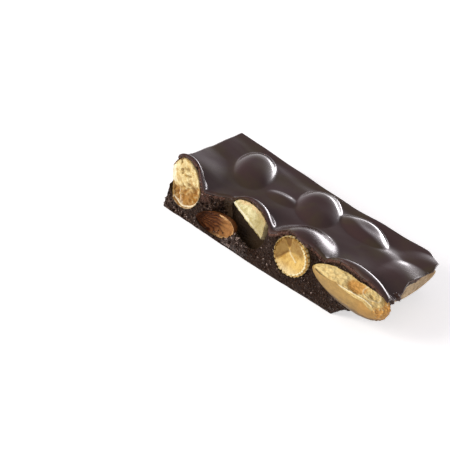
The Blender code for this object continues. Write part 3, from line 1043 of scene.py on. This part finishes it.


# The hollow, pit and rim colours carry the nuts' own colours and also the painted shade and painted
# highlights that the faces put in those masks; the round almond's hollow colour is its painted shade
nutLooks = {
    "cornerAlmond": {
        "light": (0.87, 0.75, 0.40), "dark": (0.60, 0.40, 0.13), "hollow": (0.36, 0.145, 0.012),
        "pit": (0.26, 0.14, 0.035), "rim": (0.97, 0.90, 0.66), "skin": (0.45, 0.26, 0.09), "streaks": 0.4,
    },
    "skinAlmond": {
        "light": (0.21, 0.074, 0.020), "dark": (0.08, 0.026, 0.010), "hollow": (0.43, 0.205, 0.065),
        "pit": (0.045, 0.014, 0.007), "rim": (0.76, 0.48, 0.22), "skin": (0.20, 0.07, 0.02), "streaks": 0.8,
    },
    "halfAlmond": {
        "light": (0.84, 0.78, 0.46), "dark": (0.56, 0.47, 0.20), "hollow": (0.78, 0.58, 0.30),
        "pit": (0.36, 0.27, 0.09), "rim": (0.95, 0.90, 0.66), "skin": (0.40, 0.26, 0.12), "streaks": 0.2,
    },
    "roundAlmond": {
        "light": (0.78, 0.54, 0.17), "dark": (0.54, 0.31, 0.065), "hollow": (0.13, 0.048, 0.001),
        "pit": (0.25, 0.12, 0.028), "rim": (0.92, 0.83, 0.52), "skin": (0.06, 0.028, 0.012), "streaks": 0.2,
    },
    "longAlmond": {
        "light": (0.96, 0.77, 0.35), "dark": (0.78, 0.54, 0.20), "hollow": (0.74, 0.37, 0.085),
        "pit": (0.11, 0.062, 0.024), "rim": (0.96, 0.84, 0.55), "skin": (0.56, 0.35, 0.11), "streaks": 0.35,
    },
    "endAlmond": {
        "light": (0.74, 0.55, 0.31), "dark": (0.36, 0.23, 0.10), "hollow": (0.42, 0.24, 0.07),
        "pit": (0.2, 0.1, 0.03), "rim": (0.80, 0.66, 0.42), "skin": (0.50, 0.37, 0.20), "streaks": 0.4,
    },
}


def makeNutMaterial(name, looks, mottleGroup):
    n = nutFlesh
    material, tree, shader = newMaterial(name)
    own = addNode(tree, "ShaderNodeAttribute", attribute_name="ownPlace").outputs["Vector"]
    mottle = addNode(tree, "ShaderNodeGroup", node_tree=mottleGroup)
    feed(tree, mottle, {"Place": own, "Streak Share": looks["streaks"]})
    patches = rescale(tree, mottle.outputs["Mottle"], *n["patchRange"])
    flesh = mixColours(tree, patches, looks["dark"], looks["light"])
    outside = mixColours(tree, patches, [n["skinDark"] * part for part in looks["skin"]], looks["skin"])
    colour = mixColours(tree, readMask(tree, "fresh"), outside, flesh)
    for mask, (low, share) in n["maskShares"].items():
        wide = rescale(tree, readMask(tree, mask), low, 0.9, 0.0, share)
        colour = mixColours(tree, wide, colour, looks[mask])
    feed(tree, addBump(tree, shader, *n["bump"]), {"Height": mottle.outputs["Height"]})
    rough = rescale(tree, mottle.outputs["Mottle"], *n["roughness"])
    feed(tree, shader, {"Base Color": colour, "Roughness": rough, "Specular IOR Level": n["specular"]})
    return material


chocolateLooks = {
    "noises": {
        "Patch": (0.12, 3.0, 0.5, 0.4), "Grain": (1.6, 6.0, 0.7, 0.8), "Fine": (4.0, 4.0, 0.65, 0.3),
    },
    "gritScale": 2.1,
    "poured": (0.063, 0.031, 0.029),
    "pouredWarm": (0.070, 0.046, 0.024),
    "warmRange": (0.4, 0.68),
    "gloss": (0.35, 0.7, 0.11, 0.17),
    "satin": 0.16,
    "pouredBump": (0.3, 0.25),
    "broken": (0.027, 0.0118, 0.0058),
    # brokenLight is the lighter grain and grit of the broken chocolate and also its painted highlight on
    # the crests
    "brokenLight": (0.165, 0.096, 0.062),
    "specks": (0.56, 0.72, 0.0, 0.9),
    "grit": (0.42, 0.1, 0.0, 0.45),
    "crestGrain": (0.42, 0.6),
    "paintedHighlightShare": 0.7,
    "paintedGlint": (0.80, 0.62, 0.55),
    "paintedGlintRange": (0.49, 0.56),
    "lip": (0.250, 0.125, 0.092),
    "lipShare": 0.8,
    "print": (0.042, 0.025, 0.0125),
    "printCalm": 0.8,
    "roughRange": (0.35, 0.7),
    "brokenBump": (1.0, 0.6),
    # roughness, specular level and share of painted glints on the broken walls and on the crumbs
    "wallFinish": ((0.30, 0.52), 0.3, 0.35),
    "crumbFinish": ((0.22, 0.42), 0.6, 1.0),
}


def makeGrainGroup():
    # Broad soft patches, fine grain and round grit of chocolate, from a place in millimetres
    noises = chocolateLooks["noises"]
    group, start, end = newGroup("chocolateGrain", {"Place": "Vector"}, (*noises, "Grit"))
    place = start["Place"]
    for name, values in noises.items():
        feed(group, end, {name: addNoise(group, place, *values)})
    grit = addNode(group, "ShaderNodeTexVoronoi", {"Vector": place, "Scale": chocolateLooks["gritScale"]})
    feed(group, end, {"Grit": grit.outputs["Distance"]})
    return group


def startChocolate(name, grainGroup):
    material, tree, shader = newMaterial(name)
    where = addNode(tree, "ShaderNodeTexCoord").outputs["Object"]
    grain = addNode(tree, "ShaderNodeGroup", node_tree=grainGroup)
    feed(tree, grain, {"Place": stretch(tree, where, [1.0 / mm] * 3)})
    return material, tree, shader, grain.outputs


def makePoured(grainGroup):
    c = chocolateLooks
    material, tree, shader, grain = startChocolate("pouredChocolate", grainGroup)
    warm = rescale(tree, grain["Patch"], *c["warmRange"])
    colour = mixColours(tree, warm, c["poured"], c["pouredWarm"])
    gloss = rescale(tree, grain["Patch"], *c["gloss"])
    duller = calculate(tree, "MULTIPLY_ADD", readMask(tree, "satin"), c["satin"], gloss)
    feed(tree, addBump(tree, shader, *c["pouredBump"]), {"Height": grain["Patch"]})
    feed(tree, shader, {"Base Color": colour, "Roughness": duller})
    return material


def makeBroken(name, finish, grainGroup):
    c = chocolateLooks
    roughness, specular, paintedGlints = finish
    material, tree, shader, grain = startChocolate(name, grainGroup)
    lip = readMask(tree, "lip")
    pocket = readMask(tree, "pocket")
    specks = rescale(tree, grain["Fine"], *c["specks"])
    grit = rescale(tree, grain["Grit"], *c["grit"])
    crest = readMask(tree, "crest")
    # Painted highlight: the crests are painted lighter, and some of them carry a painted glint
    paintedHighlight = calculate(tree, "MULTIPLY", crest, rescale(tree, grain["Grain"], *c["crestGrain"]))
    light = calculate(tree, "MAXIMUM", specks, grit)
    light = calculate(tree, "MAXIMUM", light, calculate(tree, "MULTIPLY", paintedHighlight, c["paintedHighlightShare"]))
    colour = mixColours(tree, light, c["broken"], c["brokenLight"])
    sparse = rescale(tree, grain["Fine"], *c["paintedGlintRange"], 0.0, paintedGlints)
    colour = mixColours(tree, calculate(tree, "MULTIPLY", paintedHighlight, sparse), colour, c["paintedGlint"])
    colour = mixColours(tree, calculate(tree, "MULTIPLY", lip, c["lipShare"]), colour, c["lip"])
    colour = mixColours(tree, pocket, colour, c["print"])
    rough = rescale(tree, grain["Grain"], *c["roughRange"], *roughness)
    height = calculate(tree, "SUBTRACT", grain["Grain"], grain["Grit"])
    calm = calculate(tree, "MULTIPLY_ADD", pocket, -c["printCalm"], 1.0)
    bump = addBump(tree, shader, *c["brokenBump"])
    feed(tree, bump, {"Height": calculate(tree, "MULTIPLY", height, calm)})
    feed(tree, shader, {"Base Color": colour, "Roughness": rough, "Specular IOR Level": specular})
    return material


# Crumbs of chocolate on the broken walls

crumbValues = {
    "count": 800,
    "sizes": (0.10, 0.42),
    "smallShare": 2.5,
    # the share of crumbs with a full painted highlight on their crests, and the weaker painted highlight on
    # the others
    "brightShare": 0.35,
    "dullCrest": 0.15,
    "seed": 5,
    "detail": 2,
    "lowest": 0.9,
    "frontY": 6.0,
    "size": 0.8,
    # bigger ones lie thickest on the low wall under the half almond
    "looseX": (16.5, 23.5),
    "looseBelow": 6.0,
    "looseSize": 2.0,
    "looseWeight": 13,
    # some lie on the low left side of the skin almond
    "onNutSize": 0.7,
    "onNutX": (1.3, 0.2),
    "onNutLowest": -2.5,
    # bigger lumps left on the break: place in working millimetres and size
    "lumps": (
        (31.4, 1.1, 10.3, 0.75), (37.0, 1.5, 12.0, 0.42), (38.4, 1.6, 11.5, 0.4), (57.2, 6.9, 8.6, 1.15),
        (56.7, 9.6, 7.0, 0.7), (57.5, 5.4, 8.3, 0.75), (30.3, 1.2, 9.3, 0.4), (36.0, 1.2, 12.0, 0.3),
    ),
    "lumpRed": 0.6,
    "lumpDetail": 4,
    "unevenness": 0.35,
}


def workPlace(vert):
    return vert.co / mm - workCorner


def crumbSpots(slab, skinNut):
    # Where crumbs may lie with their size, and all places of the broken walls
    v = crumbValues
    left, right = v["looseX"]
    spots = []
    walls = []
    poured, pocket = (slab.data.attributes[mask].data for mask in ("poured", "pocket"))
    for index, vert in enumerate(slab.data.vertices):
        work = workPlace(vert)
        if poured[index].value > 0.1 or pocket[index].value > 0.5 or work.z < v["lowest"]:
            continue
        walls.append(work)
        if vert.normal.y < -0.15 and work.y < v["frontY"]:
            loose = left < work.x < right and work.z < v["looseBelow"]
            size, weight = (v["looseSize"], v["looseWeight"]) if loose else (v["size"], 1)
            spots.extend([(work, size)] * weight)
    own, fresh = (skinNut.data.attributes[name].data for name in ("ownPlace", "fresh"))
    least, slope = v["onNutX"]
    for index, vert in enumerate(skinNut.data.vertices):
        x, _, z = own[index].vector
        shown = fresh[index].value > 0.5 and z > v["onNutLowest"]
        if shown and x > least + slope * abs(z) and index % 3 == 0:
            spots.append((workPlace(vert), v["onNutSize"]))
    return spots, walls


def makeCrumbs(slab, skinNut, material):
    v = crumbValues
    rng = random.Random(v["seed"])
    spots, walls = crumbSpots(slab, skinNut)
    mesh = bmesh.new()
    bitData = bpy.data.meshes.new("crumb")
    smallest, largest = v["sizes"]
    chosen = []
    for middle, factor in (rng.choice(spots) for _ in range(v["count"])):
        size = factor * (smallest + (largest - smallest) * rng.random() ** v["smallShare"])
        chosen.append((middle, size, 0.0))
    for x, y, z, size in v["lumps"]:
        near = min(walls, key=lambda place: (place - Vector((x, y, z))).length_squared)
        chosen.append((near, size, v["lumpRed"]))
    for middle, size, red in chosen:
        # Painted highlight: some crumbs are painted lighter on their crests, the others less
        bright = 1.0 if rng.random() < v["brightShare"] else v["dullCrest"]
        turn = Matrix.Rotation(rng.uniform(0.0, math.tau), 4, rng.choice("XYZ"))
        bit = bmesh.new()
        masks = addMasks(bit, slabMasks)
        detail = v["lumpDetail"] if red else v["detail"]
        bmesh.ops.create_icosphere(bit, subdivisions=detail, radius=size)
        sizes = Matrix.Diagonal((1.0, rng.uniform(0.5, 0.9), rng.uniform(0.5, 1.0), 1.0))
        for vert in bit.verts:
            vert.co *= 1.0 + v["unevenness"] * wavy(vert.co + middle * 3.0, min(size, 0.5))
            paint(vert, masks, crest=bright * (1.0 - red), lip=red)
        bmesh.ops.transform(bit, matrix=Matrix.Translation(middle) @ turn @ sizes, verts=bit.verts)
        bit.to_mesh(bitData)
        bit.free()
        mesh.from_mesh(bitData)
    bpy.data.meshes.remove(bitData)
    return linkPiece("chocolateCrumbs", mesh, [material], None)


# Floor, lights and camera

studio = {
    "floorHalf": 3.0,
    "floorColour": (0.92, 0.92, 0.92),
    "floorDim": 0.99,
    "floorPaper": (40.0, 3.0, 0.5, 0.0),
    "floorRoughness": 0.8,
    "floorSpecular": 0.1,
    "floorGlow": 0.6,
    "floorGlowOnPiece": 0.3,
    # the room's light by height: share of the way up, and colour
    "room": (
        (0.5, (1.00, 0.93, 0.98)), (0.6, (0.60, 0.55, 0.58)), (0.69, (0.34, 0.305, 0.33)),
        (0.77, (0.28, 0.25, 0.268)), (1.0, (0.32, 0.30, 0.31)),
    ),
    "lens": 150.0,
    "cameraPlace": (201.54, -296.15, 213.27),
    "cameraRight": (0.744, 0.627, 0.231),
    "cameraUp": (-0.490, 0.276, 0.827),
    # azimuth from +X towards +Y, elevation and distance in metres
    "keyPlace": (238.0, 24.0, 0.70),
    "keySize": 0.30,
    "keyWatts": 3.3,
    "keyColour": (1.0, 0.98, 0.95),
}

# A soft panel behind the piece, in millimetres: a slanting bright strip in a round halo
softPanel = {
    "azimuth": 95.0,
    "elevation": 8.0,
    "distance": 350.0,
    "half": 260.0,
    "fadeFrom": 0.8,
    "slant": 155.0,
    "strip": ((170.0, 22.0), 15.0, 0.0),      # half sizes, glow and shift
    "halo": ((130.0, 130.0), 1.6, -25.0),
    "colour": (1.0, 0.95, 0.99),
}


def makeGrid(name, half):
    mesh = bmesh.new()
    bmesh.ops.create_grid(mesh, x_segments=2, y_segments=2, size=half)
    return toObject(name, mesh)


def makeFloor():
    s = studio
    floor = makeGrid("floor", s["floorHalf"])
    material, tree, shader = newMaterial("paleFloor")
    where = addNode(tree, "ShaderNodeTexCoord").outputs["Object"]
    paper = addNoise(tree, where, *s["floorPaper"])
    dim = [s["floorDim"] * part for part in s["floorColour"]]
    colour = mixColours(tree, paper, dim, s["floorColour"])
    onPiece = addNode(tree, "ShaderNodeLightPath").outputs["Is Diffuse Ray"]
    less = s["floorGlowOnPiece"] - s["floorGlow"]
    glow = calculate(tree, "MULTIPLY_ADD", onPiece, less, s["floorGlow"])
    feed(tree, shader, {
        "Base Color": colour, "Roughness": s["floorRoughness"], "Specular IOR Level": s["floorSpecular"],
        "Emission Color": (1.0, 1.0, 1.0), "Emission Strength": glow,
    })
    floor.data.materials.append(material)


def aim(thing, azimuth, elevation, distance):
    # So many metres out from the middle, and turned to face it
    turn = math.radians(azimuth)
    rise = math.radians(elevation)
    way = Vector((math.cos(turn) * math.cos(rise), math.sin(turn) * math.cos(rise), math.sin(rise)))
    thing.location = way * distance
    thing.rotation_euler = way.to_track_quat("Z", "Y").to_euler()
    thing.visible_camera = False


def makeLight():
    light = bpy.data.lights.new("keyLight", "AREA")
    light.size = studio["keySize"]
    light.energy = studio["keyWatts"]
    light.color = studio["keyColour"]
    lamp = bpy.data.objects.new("keyLight", light)
    aim(lamp, *studio["keyPlace"])
    lamp.visible_glossy = False
    bpy.context.scene.collection.objects.link(lamp)


def glowSpot(tree, where, sizes, strength, shift):
    # A soft round or long spot of these half sizes in millimetres
    slant = (0.0, 0.0, math.radians(softPanel["slant"]))
    scale = (sizes[0] * mm, sizes[1] * mm, 1.0)
    inputs = {"Vector": where, "Location": (shift * mm, 0.0, 0.0), "Rotation": slant, "Scale": scale}
    turned = addNode(tree, "ShaderNodeMapping", inputs, vector_type="TEXTURE").outputs["Vector"]
    squared = addNode(tree, "ShaderNodeVectorMath", {0: turned, 1: turned}, operation="DOT_PRODUCT")
    fall = calculate(tree, "MULTIPLY", squared.outputs["Value"], -1.0)
    return calculate(tree, "MULTIPLY", calculate(tree, "EXPONENT", fall), strength)


def makePanel():
    # It shows in reflections only, brightest in its middle
    p = softPanel
    half = p["half"] * mm
    panel = makeGrid("softPanel", half)
    aim(panel, p["azimuth"], p["elevation"], p["distance"] * mm)
    panel.visible_diffuse = False
    panel.visible_shadow = False
    material, tree, _ = newMaterial("softPanelGlow")
    tree.nodes.clear()
    where = addNode(tree, "ShaderNodeTexCoord").outputs["Object"]
    total = calculate(tree, "ADD", *[glowSpot(tree, where, *p[name]) for name in ("strip", "halo")])
    far = addNode(tree, "ShaderNodeVectorMath", {0: where}, operation="LENGTH").outputs["Value"]
    edge = rescale(tree, far, half, p["fadeFrom"] * half)
    glow = addNode(tree, "ShaderNodeEmission", {"Color": p["colour"]})
    feed(tree, glow, {"Strength": calculate(tree, "MULTIPLY", total, edge)})
    clear = addNode(tree, "ShaderNodeBsdfTransparent")
    both = addNode(tree, "ShaderNodeAddShader", {0: glow.outputs[0], 1: clear.outputs[0]})
    addNode(tree, "ShaderNodeOutputMaterial", {"Surface": both.outputs[0]})
    panel.data.materials.append(material)


def makeWorld():
    world = bpy.data.worlds.new("studio")
    world.use_nodes = True
    tree = world.node_tree
    where = addNode(tree, "ShaderNodeTexCoord").outputs["Generated"]
    parts = addNode(tree, "ShaderNodeSeparateXYZ", {0: where})
    share = calculate(tree, "MULTIPLY_ADD", parts.outputs["Z"], 0.5, 0.5)
    ramp = addNode(tree, "ShaderNodeValToRGB", {"Fac": share})
    stops = ramp.color_ramp.elements
    while len(stops) < len(studio["room"]):
        stops.new(0.5)
    for stop, (height, colour) in zip(stops, studio["room"]):
        stop.position = height
        stop.color = (*colour, 1.0)
    feed(tree, tree.nodes["Background"], {"Color": ramp.outputs["Color"]})
    bpy.context.scene.world = world
    bpy.context.scene.view_settings.view_transform = "Standard"


def makeCamera():
    lens = bpy.data.cameras.new("camera")
    lens.lens = studio["lens"]
    lens.clip_start = 0.01
    right = Vector(studio["cameraRight"]).normalized()
    up = Vector(studio["cameraUp"]).normalized()
    back = right.cross(up).normalized()
    camera = bpy.data.objects.new("camera", lens)
    turn = Matrix((right, up, back)).transposed().to_4x4()
    camera.matrix_world = Matrix.Translation((Vector(studio["cameraPlace"]) + workCorner) * mm) @ turn
    bpy.context.scene.collection.objects.link(camera)
    bpy.context.scene.camera = camera


makeCamera()
makeWorld()
makeFloor()
makeLight()
makePanel()
grainGroup = makeGrainGroup()
broken = makeBroken("brokenChocolate", chocolateLooks["wallFinish"], grainGroup)
slab = makeSlab(makePoured(grainGroup), broken)
print("made chocolateBark", len(slab.data.polygons), "faces")
mottleGroup = makeMottleGroup()
made = {}
for name, nut in nuts.items():
    made[name] = makeNut(name, nut, makeNutMaterial(name + "Flesh", nutLooks[name], mottleGroup))
crumbly = makeBroken("crumbChocolate", chocolateLooks["crumbFinish"], grainGroup)
makeCrumbs(slab, made["skinAlmond"], crumbly)
print("made chocolateCrumbs")
